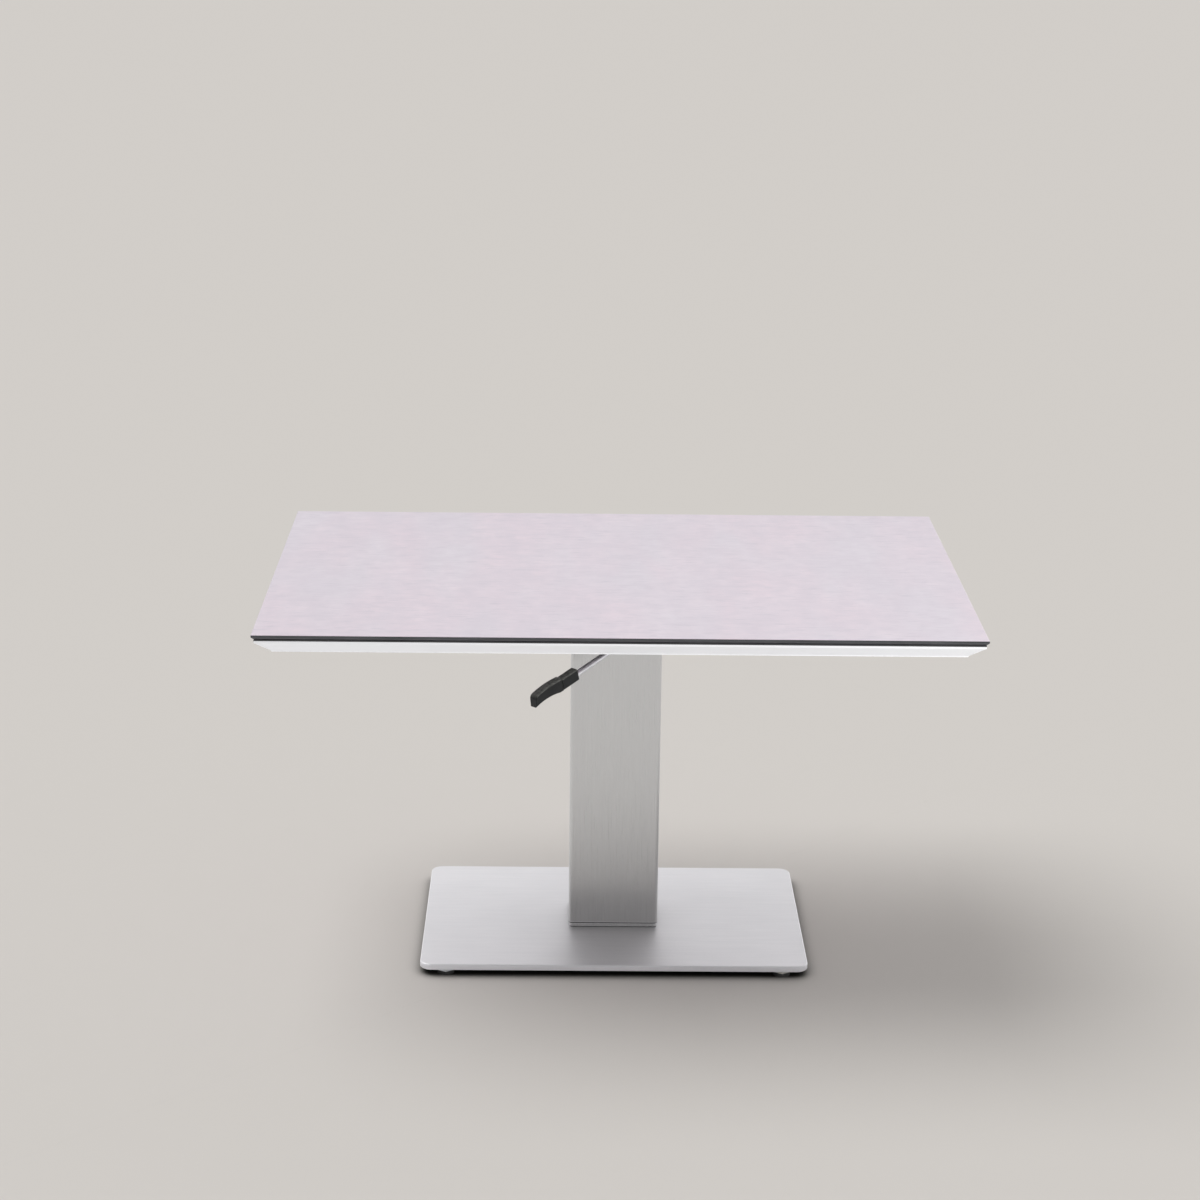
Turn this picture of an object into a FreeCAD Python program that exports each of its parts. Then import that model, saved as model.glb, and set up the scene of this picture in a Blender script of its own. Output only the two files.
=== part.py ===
import FreeCAD, Part
import math
import os
import re

import Sketcher

# Telescoping pedestal table, shown lowered.
#
# A thin laminate top sits on a bevelled frame. Two rails and a plate carry the
# outer sleeve, which slides over an inner column that stands on a flat base
# plate. A lockable gas spring inside the columns carries the top. A lever that
# comes out of the sleeve presses the spring's release pin.
#
# Frame: millimetres, +Z up, the sitter is at -Y, the origin is on the floor
# under the middle of the top.

# Every size that can be set by itself: name, value, what it is.
SIZES = [
    # Table top
    ("top_length", 900, "laminate, along X"),
    ("top_width", 600, "laminate, along Y"),
    ("table_height", 505, "floor to the top surface, lowered"),
    ("lift_travel", 220, "how far the top rises"),
    ("laminate_thickness", 6, "compact laminate"),
    ("laminate_chamfer", 2.6, "lower edge"),
    ("laminate_arris", 0.8, "upper edge"),
    ("tape_thickness", 0.8, "bonding tape"),
    ("tape_strip", 30, "width of a tape strip"),
    # Frame under the top
    ("frame_setback", 3, "frame face behind the laminate edge"),
    ("frame_depth", 45, "profile, front to back"),
    ("frame_height", 21.2, "profile, top to bottom"),
    ("frame_lip", 4.5, "upright band above the bevel"),
    ("frame_bevel", 19, "how far the bevel runs in"),
    ("frame_toe", 1.4, "upright band below the bevel"),
    ("frame_wall", 2, "profile wall"),
    ("cleat_leg", 60, "corner cleat, length of a leg"),
    ("cleat_play", 0.1, "cleat to profile wall"),
    # Rails and mounting plate
    ("rail_spread", 200, "rail to rail, centres"),
    ("rail_width", 40, "rail tube"),
    ("rail_depth", 20, "rail tube, height"),
    ("rail_wall", 2, "rail tube wall"),
    ("rail_corner", 3, "rail tube outer corner"),
    ("mount_margin_x", 30, "mounting plate past its screws"),
    ("mount_margin_y", 20, "mounting plate past its screws"),
    ("mount_thickness", 5, "mounting plate"),
    ("mount_corner", 12, "mounting plate, cropped corners"),
    ("mount_screw_spread", 140, "screws along a rail, centres"),
    ("mount_screw_shank", 6, "M6 shank"),
    ("mount_screw_length", 16, "below head"),
    ("mount_screw_flats", 10, "M6 hexagon head across flats"),
    ("mount_screw_head", 4, "M6 hexagon head"),
    ("hole_play", 0.3, "screw to clearance hole, radial"),
    ("rivet_nut_flats", 9, "hexagonal rivet nut barrel"),
    ("rivet_nut_length", 13, "rivet nut barrel"),
    # Columns
    ("sleeve_length", 120, "outer sleeve, along X"),
    ("sleeve_width", 90, "outer sleeve, along Y"),
    ("sleeve_wall", 2, "outer sleeve wall"),
    ("sleeve_corner", 5, "outer sleeve outer corner"),
    ("column_gap", 3, "sleeve bore to the inner column"),
    ("column_wall", 3, "inner column wall"),
    ("column_corner", 6, "inner column outer corner"),
    ("column_below_lever", 21.5, "inner column top to lever axis"),
    ("guide_play", 0.3, "guide to the tube that slides on it"),
    ("guide_crop", 3, "guide corners, cut to clear the tubes' corners"),
    ("upper_guide_height", 32, "guide around the column top"),
    ("guide_cap", 3, "guide lip over the column end"),
    ("lower_guide_height", 36, "guide in the sleeve bottom"),
    ("stop_gap", 0.3, "sleeve end above the foot collar"),
    ("collar_height", 5.7, "foot collar"),
    ("collar_setback", 1.3, "foot collar behind the sleeve face"),
    ("collar_play", 0.2, "foot collar to the inner column"),
    # Base
    ("plate_length", 510, "base plate, along X"),
    ("plate_width", 345, "base plate, along Y"),
    ("plate_thickness", 8, "base plate"),
    ("plate_corner", 16, "base plate corner radius"),
    ("plate_upper_bevel", 1.3, "base plate upper edge"),
    ("plate_lower_bevel", 0.8, "base plate lower edge"),
    ("floor_gap", 8, "floor to base plate"),
    ("flange_thickness", 10, "foot flange"),
    ("flange_play", 0.1, "foot flange to the inner column"),
    ("foot_screw_inset", 14, "foot screws from the inner column's bore"),
    ("foot_screw_shank", 8, "M8 shank"),
    ("foot_screw_flats", 13, "M8 hexagon head across flats"),
    ("foot_screw_head", 4, "M8 thin hexagon head"),
    ("thread_end_gap", 1, "screw end below the face of its hole"),
    # Levelling glides
    ("glide_inset_x", 34, "glides from the plate's ends"),
    ("glide_inset_y", 13.5, "glides from the plate's sides"),
    ("glide_stud", 10, "M10 stud"),
    ("glide_stud_play", 0.05, "stud to its hole, radial"),
    ("glide_hole_depth", 6.5, "blind hole in the plate"),
    ("glide_end_gap", 0.4, "stud end to the end of its hole"),
    ("glide_flange", 22, "hexagonal flange of the stud, across flats"),
    ("glide_flange_height", 2.4, "stud flange"),
    ("glide_seat_gap", 0.3, "flange to plate when screwed home"),
    ("glide_pad", 22, "foot pad diameter"),
    # Gas spring
    ("cylinder_outer", 28, "cylinder diameter"),
    ("cylinder_wall", 2, "cylinder wall"),
    ("cylinder_base", 8, "closed end"),
    ("cylinder_stud", 10, "M10 foot stud"),
    ("lock_nut_flats", 17, "M10 nut across flats"),
    ("lock_nut_height", 6, "lock nut on the foot stud"),
    ("gland_height", 17.5, "rod guide in the cylinder's rolled end"),
    ("rod_diameter", 10, "piston rod"),
    ("rod_play", 0.05, "rod to gland, radial"),
    ("rod_bore", 4.2, "bore for the release pin"),
    ("pin_diameter", 4, "release pin"),
    ("pin_lift", 7, "release pin above the rod end"),
    ("pin_gap", 0.3, "release pin to the lever hub"),
    ("pin_foot_gap", 3.5, "release pin to the valve seat"),
    ("valve_depth", 4, "valve seat below the piston's top"),
    ("rod_thread_end", 1.5, "rod end above the bracket web"),
    ("rod_nut_height", 5, "nut under the bracket web"),
    ("head_gap", 1.7, "rod nut to the cylinder end"),
    ("piston_height", 14, "piston"),
    ("piston_play", 0.1, "piston to cylinder, radial"),
    ("piston_end_gap", 0.5, "piston to gland at full lift"),
    ("piston_tail", 2, "rod end below the piston"),
    # Head bracket
    ("bracket_sheet", 5, "bracket sheet"),
    ("bracket_front", 28, "web in front of the rod"),
    ("bracket_rear", 22, "web behind the rod"),
    ("bracket_bend", 2, "inner bend radius"),
    # Lever
    ("lever_below_plate", 56.7, "lever axis below the mounting plate"),
    ("lever_travel_angle", 9.5, "degrees, grip up"),
    ("pivot_forward", 17, "pivot in front of the release pin"),
    ("pivot_diameter", 6, "pivot pin"),
    ("pivot_play", 0.05, "pivot pin to its holes, radial"),
    ("pivot_head", 9, "pivot pin head"),
    ("pivot_head_height", 2, "pivot pin head"),
    ("clip_outer", 12, "pivot clip"),
    ("clip_thickness", 1, "pivot clip"),
    ("clip_gap", 0.3, "pivot clip to the bracket"),
    ("clip_opening", 5, "mouth of the pivot clip"),
    ("pivot_tail", 2.5, "pivot pin past the clip"),
    ("hub_width", 24, "lever hub, along X"),
    ("hub_height", 14, "lever hub"),
    ("hub_front", 17, "hub in front of the pivot"),
    ("hub_rear", 23, "hub behind the pivot"),
    ("hub_side_gap", 0.3, "hub to bracket cheek"),
    ("hub_crop", 3, "hub corners"),
    ("hub_socket", 11, "rod socket depth"),
    ("lever_rod_diameter", 8, "lever rod"),
    ("lever_bend_out", 7, "bend in front of the sleeve"),
    ("lever_bend_radius", 16, "rod bend, to its axis"),
    ("lever_swing", 45, "degrees, rod to the left of front"),
    ("lever_fall", 15.7, "degrees, rod below level"),
    ("lever_reach", 79.8, "bend to the mouth of the grip"),
    ("slot_play", 2, "lever rod to its slot"),
    ("slot_corner", 3, "corner of the slot"),
    # Grip
    ("grip_grasp", 38, "rod inside the grip"),
    ("grip_length", 79.7, "mouth to the end"),
    ("grip_width", 13, "handle"),
    ("grip_chamfer", 1.8, "edges of the handle's sides"),
    ("grip_top", 10.8, "top curve's two ends above the rod's axis"),
    ("grip_top_radius", 140, "top curve"),
    ("grip_nose_radius", 6.8, "curve between top and end"),
    ("grip_nose_back", 5.6, "nose curve, along the rod"),
    ("grip_nose_drop", 5.8, "nose curve, across the rod"),
    ("grip_end_lean", 1.5, "end, out of square"),
    ("grip_tip_under", 5.3, "end's lower edge below the rod's axis"),
    ("grip_finger_radius", 88, "hollow under the handle"),
    ("grip_heel", 34, "mouth to the hollow"),
    ("grip_under", 7, "heel below the rod's axis"),
    ("grip_block_length", 28, "block at the mouth"),
    ("grip_block_width", 12, "block at the mouth"),
    ("grip_block_top", 9.5, "block above the rod's axis"),
    ("grip_block_under", 6.8, "block below the rod's axis"),
    ("grip_block_crop", 1.6, "long edges of the block"),
    ("grip_mouth", 9.6, "relief around the rod"),
    ("grip_mouth_depth", 2.5, "relief around the rod"),
]

SIZE_NAME = re.compile(r"\b(" + "|".join(name for name, _, _ in SIZES) + r")\b")

# Heights above the floor, and sizes that follow from the ones above.
PLATE_TOP = "(floor_gap + plate_thickness)"
SLEEVE_BOTTOM = f"({PLATE_TOP} + collar_height + stop_gap)"
LAMINATE_BOTTOM = "(table_height - laminate_thickness)"
FRAME_TOP = f"({LAMINATE_BOTTOM} - tape_thickness)"
RAIL_BOTTOM = f"({FRAME_TOP} - rail_depth)"
MOUNT_BOTTOM = f"({RAIL_BOTTOM} - mount_thickness)"
LEVER_AXIS = f"({MOUNT_BOTTOM} - lever_below_plate)"
COLUMN_TOP = f"({LEVER_AXIS} - column_below_lever)"
PIN_TOP = f"({LEVER_AXIS} - hub_height / 2 - pin_gap)"
ROD_TOP = f"({PIN_TOP} - pin_lift)"
WEB_TOP = f"({ROD_TOP} - rod_thread_end)"
WEB_BOTTOM = f"({WEB_TOP} - bracket_sheet)"
CYLINDER_TOP = f"({WEB_BOTTOM} - rod_nut_height - head_gap)"
CYLINDER_BOTTOM = f"({PLATE_TOP} + flange_thickness + lock_nut_height)"
GLAND_BOTTOM = f"({CYLINDER_TOP} - gland_height)"
PISTON_TOP = f"({GLAND_BOTTOM} - piston_end_gap - lift_travel)"
VALVE_SEAT = f"({PISTON_TOP} - valve_depth)"
PISTON_BOTTOM = f"({PISTON_TOP} - piston_height)"
CYLINDER_BORE = "(cylinder_outer / 2 - cylinder_wall)"
SLEEVE_BORE_X = "(sleeve_length - 2 * sleeve_wall)"
SLEEVE_BORE_Y = "(sleeve_width - 2 * sleeve_wall)"
SLEEVE_BORE_CORNER = "(sleeve_corner - sleeve_wall)"
COLUMN_X = f"({SLEEVE_BORE_X} - 2 * column_gap)"
COLUMN_Y = f"({SLEEVE_BORE_Y} - 2 * column_gap)"
COLUMN_BORE_X = f"({COLUMN_X} - 2 * column_wall)"
COLUMN_BORE_Y = f"({COLUMN_Y} - 2 * column_wall)"
COLUMN_BORE_CORNER = "(column_corner - column_wall)"
FRAME_FACE_X = "(top_length / 2 - frame_setback)"
FRAME_FACE_Y = "(top_width / 2 - frame_setback)"
BEVEL_SLOPE = "((frame_height - frame_toe - frame_lip) / frame_bevel)"
BEVEL_WALL = f"(frame_wall * sqrt(1 + {BEVEL_SLOPE} * {BEVEL_SLOPE}))"
BEVEL_INNER_END = f"((frame_height - frame_wall - frame_lip + {BEVEL_WALL}) / {BEVEL_SLOPE})"
CLEAT_BAR = f"(frame_depth - frame_wall - 2 * cleat_play - {BEVEL_INNER_END})"
RAIL_LENGTH = f"(2 * ({FRAME_FACE_Y} - frame_depth))"
FOOT_SCREW_X = f"({COLUMN_BORE_X} - 2 * foot_screw_inset)"
FOOT_SCREW_Y = f"({COLUMN_BORE_Y} - 2 * foot_screw_inset)"
GLIDE_X = "(plate_length - 2 * glide_inset_x)"
GLIDE_Y = "(plate_width - 2 * glide_inset_y)"
LEVER_BEND = "(sleeve_width / 2 + lever_bend_out)"
CHEEK_INSIDE = "(hub_width / 2 + hub_side_gap)"
CHEEK_OUTSIDE = f"({CHEEK_INSIDE} + bracket_sheet)"

X_AXIS = FreeCAD.Vector(1, 0, 0)
Y_AXIS = FreeCAD.Vector(0, 1, 0)
Z_AXIS = FreeCAD.Vector(0, 0, 1)
NEAR = 1e-4  # mm, for telling faces and edges apart
OVERCUT = "1"  # mm, how far a cutting outline runs past the solid

document = FreeCAD.newDocument("TelescopingPedestalTable")
sheet = document.addObject("Spreadsheet::Sheet", "Sizes")
nodes = []


# ---------------------------------------------------------------- helpers


def fill_sheet():
    """Write each size as a plain number with its name as the cell's alias."""
    for row, (name, number, note) in enumerate(SIZES, start=1):
        sheet.set(f"A{row}", name)
        sheet.set(f"B{row}", str(number))
        sheet.set(f"C{row}", note)
        sheet.setAlias(f"B{row}", name)
    document.recompute()


def bound(text):
    """Point the size names in an expression at the sheet."""
    return SIZE_NAME.sub(r"Sizes.\1", text)


def value(text):
    """The number that an expression has now."""
    result = sheet.evalExpression(bound(text))
    return float(getattr(result, "Value", result))


def new_body(label):
    """A PartDesign body, which is a sub-part of the table."""
    body = document.addObject("PartDesign::Body", label)
    body.Label = label
    nodes.append(body)
    return body


def helper_body(label):
    """A body that only a group of copies uses."""
    body = document.addObject("PartDesign::Body", label)
    body.Label = label
    return body


def place(thing, x="0", y="0", z="0", yaw="0", pitch="0", roll="0"):
    """Bind a thing's Placement to the sheet."""
    base = f"vector({x}; {y}; {z})"
    turn = f"rotation({yaw}; {pitch}; {roll})"
    thing.setExpression("Placement", bound(f"placement({base}; {turn})"))


def new_sketch(body, role, offset="0"):
    """A sketch on one of the body's own origin planes, moved along its normal."""
    sketch = body.newObject("Sketcher::SketchObject", body.Label + "_sketch")
    plane = next(f for f in body.Origin.OriginFeatures if f.Role == role)
    sketch.AttachmentSupport = [(plane, "")]
    sketch.MapMode = "FlatFace"
    sketch.setExpression("AttachmentOffset.Base.z", bound(offset))
    return sketch


def bind(sketch, kind, geometry, point, text):
    """Constrain one coordinate or radius to an expression."""
    if text == "0":
        axis = -2 if kind == "DistanceX" else -1
        sketch.addConstraint(Sketcher.Constraint("PointOnObject", geometry, point, axis))
        return
    numbers = [geometry, value(text)] if point is None else [geometry, point, value(text)]
    index = sketch.addConstraint(Sketcher.Constraint(kind, *numbers))
    name = f"size_{index}"
    sketch.renameConstraint(index, name)
    sketch.setExpression("Constraints." + name, bound(text))


def line(sketch, start, end):
    """A straight edge whose two ends are bound; returns its index."""
    points = [FreeCAD.Vector(value(x), value(y), 0) for x, y in (start, end)]
    return sketch.addGeometry(Part.LineSegment(*points), False)


def outline(sketch, points):
    """A closed outline of straight edges through bound points."""
    first = sketch.GeometryCount
    count = len(points)
    for index, point in enumerate(points):
        line(sketch, point, points[(index + 1) % count])
    for index in range(count):
        here, following = first + index, first + (index + 1) % count
        sketch.addConstraint(Sketcher.Constraint("Coincident", here, 2, following, 1))
    for index, (x, y) in enumerate(points):
        bind(sketch, "DistanceX", first + index, 1, x)
        bind(sketch, "DistanceY", first + index, 1, y)


def circle(sketch, radius, x="0", y="0"):
    """A bound circle."""
    centre = FreeCAD.Vector(value(x), value(y), 0)
    index = sketch.addGeometry(Part.Circle(centre, Z_AXIS, value(radius)), False)
    bind(sketch, "DistanceX", index, 3, x)
    bind(sketch, "DistanceY", index, 3, y)
    bind(sketch, "Radius", index, None, radius)


def rectangle(sketch, length, width, x="0", y="0"):
    """A bound rectangle about a centre."""
    left, right = f"{x} - ({length}) / 2", f"{x} + ({length}) / 2"
    low, high = f"{y} - ({width}) / 2", f"{y} + ({width}) / 2"
    outline(sketch, [(left, low), (right, low), (right, high), (left, high)])


def rounded_rectangle(sketch, length, width, radius, x="0", y="0"):
    """A bound rectangle with round corners, anticlockwise from its lower edge."""
    left, right = f"{x} - ({length}) / 2", f"{x} + ({length}) / 2"
    low, high = f"{y} - ({width}) / 2", f"{y} + ({width}) / 2"
    inner_left, inner_right = f"{left} + {radius}", f"{right} - {radius}"
    inner_low, inner_high = f"{low} + {radius}", f"{high} - {radius}"
    edges = [
        ((inner_left, low), (inner_right, low), (inner_right, inner_low)),
        ((right, inner_low), (right, inner_high), (inner_right, inner_high)),
        ((inner_right, high), (inner_left, high), (inner_left, inner_high)),
        ((left, inner_high), (left, inner_low), (inner_left, inner_low)),
    ]
    first = sketch.GeometryCount
    for index, (start, end, centre) in enumerate(edges):
        line(sketch, start, end)
        middle = FreeCAD.Vector(value(centre[0]), value(centre[1]), 0)
        turn = math.pi / 2 * (index - 1)
        ring = Part.Circle(middle, Z_AXIS, value(radius))
        sketch.addGeometry(Part.ArcOfCircle(ring, turn, turn + math.pi / 2), False)
    for index, (start, end, _) in enumerate(edges):
        edge, arc = first + 2 * index, first + 2 * index + 1
        following = first + (2 * index + 2) % (2 * len(edges))
        for point, (x_text, y_text) in ((1, start), (2, end)):
            bind(sketch, "DistanceX", edge, point, x_text)
            bind(sketch, "DistanceY", edge, point, y_text)
        sketch.addConstraint(Sketcher.Constraint("Coincident", edge, 2, arc, 1))
        sketch.addConstraint(Sketcher.Constraint("Coincident", arc, 2, following, 1))
        bind(sketch, "Radius", arc, None, radius)


def cropped_rectangle(sketch, length, width, crop, x="0", y="0"):
    """A bound rectangle about a centre with its corners cut off."""
    left, right = f"{x} - ({length}) / 2", f"{x} + ({length}) / 2"
    low, high = f"{y} - ({width}) / 2", f"{y} + ({width}) / 2"
    outline(sketch, [
        (f"{left} + {crop}", low), (f"{right} - {crop}", low),
        (right, f"{low} + {crop}"), (right, f"{high} - {crop}"),
        (f"{right} - {crop}", high), (f"{left} + {crop}", high),
        (left, f"{high} - {crop}"), (left, f"{low} + {crop}"),
    ])


def hexagon(sketch, flats, x="0", y="0"):
    """A bound hexagon with two flats upright."""
    side, tip = f"({flats}) / 2", f"({flats}) / sqrt(3)"
    points = [
        (f"{x} + {side}", f"{y} - {tip} / 2"),
        (f"{x} + {side}", f"{y} + {tip} / 2"),
        (x, f"{y} + {tip}"),
        (f"{x} - {side}", f"{y} + {tip} / 2"),
        (f"{x} - {side}", f"{y} - {tip} / 2"),
        (x, f"{y} - {tip}"),
    ]
    outline(sketch, points)


def arc_between(start, end, radius):
    """The arc that runs anticlockwise from start to end."""
    chord = end - start
    aside = Z_AXIS.cross(chord).normalize()
    centre = (start + end) / 2 + aside * math.sqrt(radius ** 2 - (chord.Length / 2) ** 2)
    ring = Part.Circle(centre, Z_AXIS, radius)
    return Part.ArcOfCircle(ring, ring.parameter(start), ring.parameter(end))


def curved_outline(sketch, corners):
    """A closed anticlockwise outline through bound corners.

    A corner is (x, y, radius, bulges): the radius, or None if it is straight, is that
    of the edge that leaves the corner, which bulges outwards or is hollow.
    """
    first, count = sketch.GeometryCount, len(corners)
    spots = [FreeCAD.Vector(value(x), value(y), 0) for x, y, _, _ in corners]
    for index, (_, _, radius, bulges) in enumerate(corners):
        start, end = spots[index], spots[(index + 1) % count]
        if radius is None:
            edge = Part.LineSegment(start, end)
        elif bulges:
            edge = arc_between(start, end, value(radius))
        else:
            edge = arc_between(end, start, value(radius))
        sketch.addGeometry(edge, False)
    for index, (x, y, radius, bulges) in enumerate(corners):
        here, following = first + index, (index + 1) % count
        start, end = (1, 2) if bulges else (2, 1)
        next_start = 1 if corners[following][3] else 2
        joint = ("Coincident", here, end, first + following, next_start)
        sketch.addConstraint(Sketcher.Constraint(*joint))
        bind(sketch, "DistanceX", here, start, x)
        bind(sketch, "DistanceY", here, start, y)
        if radius is not None:
            bind(sketch, "Radius", here, None, radius)


def pad(body, sketch, length, midplane=False, reverse=False):
    """Extrude a sketch."""
    feature = body.newObject("PartDesign::Pad", body.Label + "_pad")
    feature.Profile = sketch
    feature.setExpression("Length", bound(length))
    feature.Midplane = midplane
    feature.Reversed = reverse
    document.recompute()
    return feature


def check_removed(body, before):
    """A cut that points the wrong way removes nothing and shows no error."""
    document.recompute()
    if not body.Shape.Volume < before - NEAR:
        raise ValueError(f"{body.Label}: a cut removed nothing")


def pocket(body, sketch, depth=None, reverse=False):
    """Cut a sketch to a depth against its normal, or right through both ways."""
    before = body.Shape.Volume
    feature = body.newObject("PartDesign::Pocket", body.Label + "_pocket")
    feature.Profile = sketch
    if depth is None:
        feature.Type = "ThroughAll"
        feature.Midplane = True
    else:
        feature.setExpression("Length", bound(depth))
        feature.Reversed = reverse
    check_removed(body, before)
    return feature


def revolve(body, points):
    """Turn a half-section (radius, height) about the body's Z axis."""
    sketch = new_sketch(body, "XZ_Plane")
    outline(sketch, points)
    feature = body.newObject("PartDesign::Revolution", body.Label + "_revolution")
    feature.Profile = sketch
    feature.ReferenceAxis = (sketch, ["V_Axis"])
    feature.Angle = 360
    document.recompute()
    return feature


def dress(body, kind, names, size):
    """Fillet or chamfer the named edges or faces of the body's last feature."""
    base = body.Tip
    feature = body.newObject("PartDesign::" + kind, body.Label + "_" + kind.lower())
    feature.Base = (base, names)
    feature.setExpression("Radius" if kind == "Fillet" else "Size", bound(size))
    document.recompute()
    return feature


def faces_where(body, test):
    """Names of the faces of the body's last feature that pass a test."""
    faces = body.Tip.Shape.Faces
    return [f"Face{n}" for n, face in enumerate(faces, start=1) if test(face)]


def edges_where(body, test):
    """Names of the straight edges of the body's last feature that pass a test."""
    edges = body.Tip.Shape.Edges
    straight = [(n, edge) for n, edge in enumerate(edges, start=1) if len(edge.Vertexes) == 2]
    return [f"Edge{n}" for n, edge in straight if test(edge)]


def level_face(height):
    """A test for a flat level face at a height in the body's own frame."""
    return lambda face: (
        face.BoundBox.ZLength < NEAR and abs(face.BoundBox.ZMin - value(height)) < NEAR
    )


def side_face(distance):
    """A test for a flat upright face at a distance to either side of the XZ plane."""
    return lambda face: (
        face.BoundBox.YLength < NEAR and abs(abs(face.BoundBox.YMin) - value(distance)) < NEAR
    )


def same_place(edge, direction, spots):
    """True if an edge runs along a direction through one of the spots."""
    first, last = edge.Vertexes[0].Point, edge.Vertexes[-1].Point
    if (last - first).cross(direction).Length > NEAR:
        return False
    middle = (first + last) / 2
    return any((middle - spot).cross(direction).Length < NEAR for spot in spots)


def compound(label, parts):
    """A group of separate solids."""
    group = document.addObject("Part::Compound", label)
    group.Label = label
    group.Links = parts
    return group


def mirrored(source, normal):
    """A mirror image of an object across a plane through the origin."""
    copy = document.addObject("Part::Mirroring", source.Label + "_mirror")
    copy.Source = source
    copy.Normal = normal
    return copy


def group_of_four(label, source):
    """A node that holds a piece and its three mirror images."""
    pair = compound(label + "_pair", [source, mirrored(source, X_AXIS)])
    nodes.append(compound(label, [pair, mirrored(pair, Y_AXIS)]))


def spread(along_x, along_y):
    """The four corner places of a rectangular pattern."""
    places = []
    for x_side in ("-", ""):
        for y_side in ("-", ""):
            places.append((f"{x_side}({along_x}) / 2", f"{y_side}({along_y}) / 2"))
    return places


# ---------------------------------------------------------------- the top


def make_table_top():
    """Compact laminate sheet, chamfered below."""
    body = new_body("table_top")
    sketch = new_sketch(body, "XY_Plane")
    rectangle(sketch, "top_length", "top_width")
    pad(body, sketch, "laminate_thickness")
    dress(body, "Chamfer", faces_where(body, level_face("0")), "laminate_chamfer")
    upper = faces_where(body, level_face("laminate_thickness"))
    dress(body, "Chamfer", upper, "laminate_arris")
    place(body, z=LAMINATE_BOTTOM)


def make_bonding_tape():
    """Tape strips on the frame's four profiles, butted at their ends."""
    margin = "(frame_depth - tape_strip) / 2"
    strips = [
        (f"2 * ({FRAME_FACE_X} - {margin})", "tape_strip", "0",
         f"{FRAME_FACE_Y} - frame_depth / 2"),
        ("tape_strip", f"2 * ({FRAME_FACE_Y} - {margin} - tape_strip)",
         f"{FRAME_FACE_X} - frame_depth / 2", "0"),
    ]
    solids = []
    for number, (length, width, x, y) in enumerate(strips):
        body = helper_body(f"tape_strip_{number}")
        sketch = new_sketch(body, "XY_Plane")
        rectangle(sketch, length, width)
        pad(body, sketch, "tape_thickness")
        place(body, x=x, y=y, z=FRAME_TOP)
        solids += [body, mirrored(body, X_AXIS if y == "0" else Y_AXIS)]
    nodes.append(compound("bonding_tape", solids))


def make_frame_profile(label, length, x, y, yaw):
    """One mitred side of the frame: a hollow bevelled profile along its own X."""
    body = new_body(label)
    section = new_sketch(body, "YZ_Plane")
    outline(section, [
        ("0", "0"),
        ("0", "-frame_lip"),
        ("frame_bevel", "-(frame_height - frame_toe)"),
        ("frame_bevel", "-frame_height"),
        ("frame_depth", "-frame_height"),
        ("frame_depth", "0"),
    ])
    inner_low = "(frame_height - frame_wall)"
    outline(section, [
        ("frame_wall", "-frame_wall"),
        ("frame_wall", f"-frame_lip - {BEVEL_SLOPE} * frame_wall + {BEVEL_WALL}"),
        (BEVEL_INNER_END, f"-{inner_low}"),
        ("frame_depth - frame_wall", f"-{inner_low}"),
        ("frame_depth - frame_wall", "-frame_wall"),
    ])
    pad(body, section, length, midplane=True)
    mitre = new_sketch(body, "XY_Plane")
    for side in ("", "-"):
        outer = f"{side}({length} / 2 + {OVERCUT})"
        inner = f"{side}({length} / 2 - frame_depth - {OVERCUT})"
        beyond = f"frame_depth + {OVERCUT}"
        outline(mitre, [(outer, f"-{OVERCUT}"), (outer, beyond), (inner, beyond)])
    pocket(body, mitre)
    place(body, x=x, y=y, z=FRAME_TOP, yaw=yaw)


def make_frame():
    """Four mitred profiles."""
    long_side, short_side = f"(2 * {FRAME_FACE_X})", f"(2 * {FRAME_FACE_Y})"
    make_frame_profile("frame_front", long_side, "0", f"-{FRAME_FACE_Y}", "0")
    make_frame_profile("frame_back", long_side, "0", FRAME_FACE_Y, "180")
    make_frame_profile("frame_left", short_side, f"-{FRAME_FACE_X}", "0", "-90")
    make_frame_profile("frame_right", short_side, FRAME_FACE_X, "0", "90")


def make_corner_cleats():
    """L-shaped cleats in the square part of the profiles, one in each mitre."""
    body = helper_body("corner_cleat")
    sketch = new_sketch(body, "XY_Plane")
    edge_x = f"{FRAME_FACE_X} - frame_depth + frame_wall + cleat_play + {CLEAT_BAR}"
    edge_y = f"{FRAME_FACE_Y} - frame_depth + frame_wall + cleat_play + {CLEAT_BAR}"
    outline(sketch, [
        (f"{edge_x} - cleat_leg", f"{edge_y} - {CLEAT_BAR}"),
        (f"{edge_x} - {CLEAT_BAR}", f"{edge_y} - {CLEAT_BAR}"),
        (f"{edge_x} - {CLEAT_BAR}", f"{edge_y} - cleat_leg"),
        (edge_x, f"{edge_y} - cleat_leg"),
        (edge_x, edge_y),
        (f"{edge_x} - cleat_leg", edge_y),
    ])
    pad(body, sketch, "frame_height - 2 * (frame_wall + cleat_play)")
    place(body, z=f"{FRAME_TOP} - frame_height + frame_wall + cleat_play")
    group_of_four("corner_cleats", body)


def make_rail(label, side):
    """Tube from the front profile to the back one, holed for two rivet nuts."""
    body = new_body(label)
    section = new_sketch(body, "XZ_Plane")
    middle = "rail_depth / 2"
    rounded_rectangle(section, "rail_width", "rail_depth", "rail_corner", y=middle)
    rectangle(section, "rail_width - 2 * rail_wall", "rail_depth - 2 * rail_wall", y=middle)
    pad(body, section, RAIL_LENGTH, midplane=True)
    holes = new_sketch(body, "XY_Plane")
    for end in ("-", ""):
        hexagon(holes, "rivet_nut_flats", y=f"{end}mount_screw_spread / 2")
    pocket(body, holes, "rail_wall", reverse=True)
    place(body, x=f"{side}rail_spread / 2", z=RAIL_BOTTOM)


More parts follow.
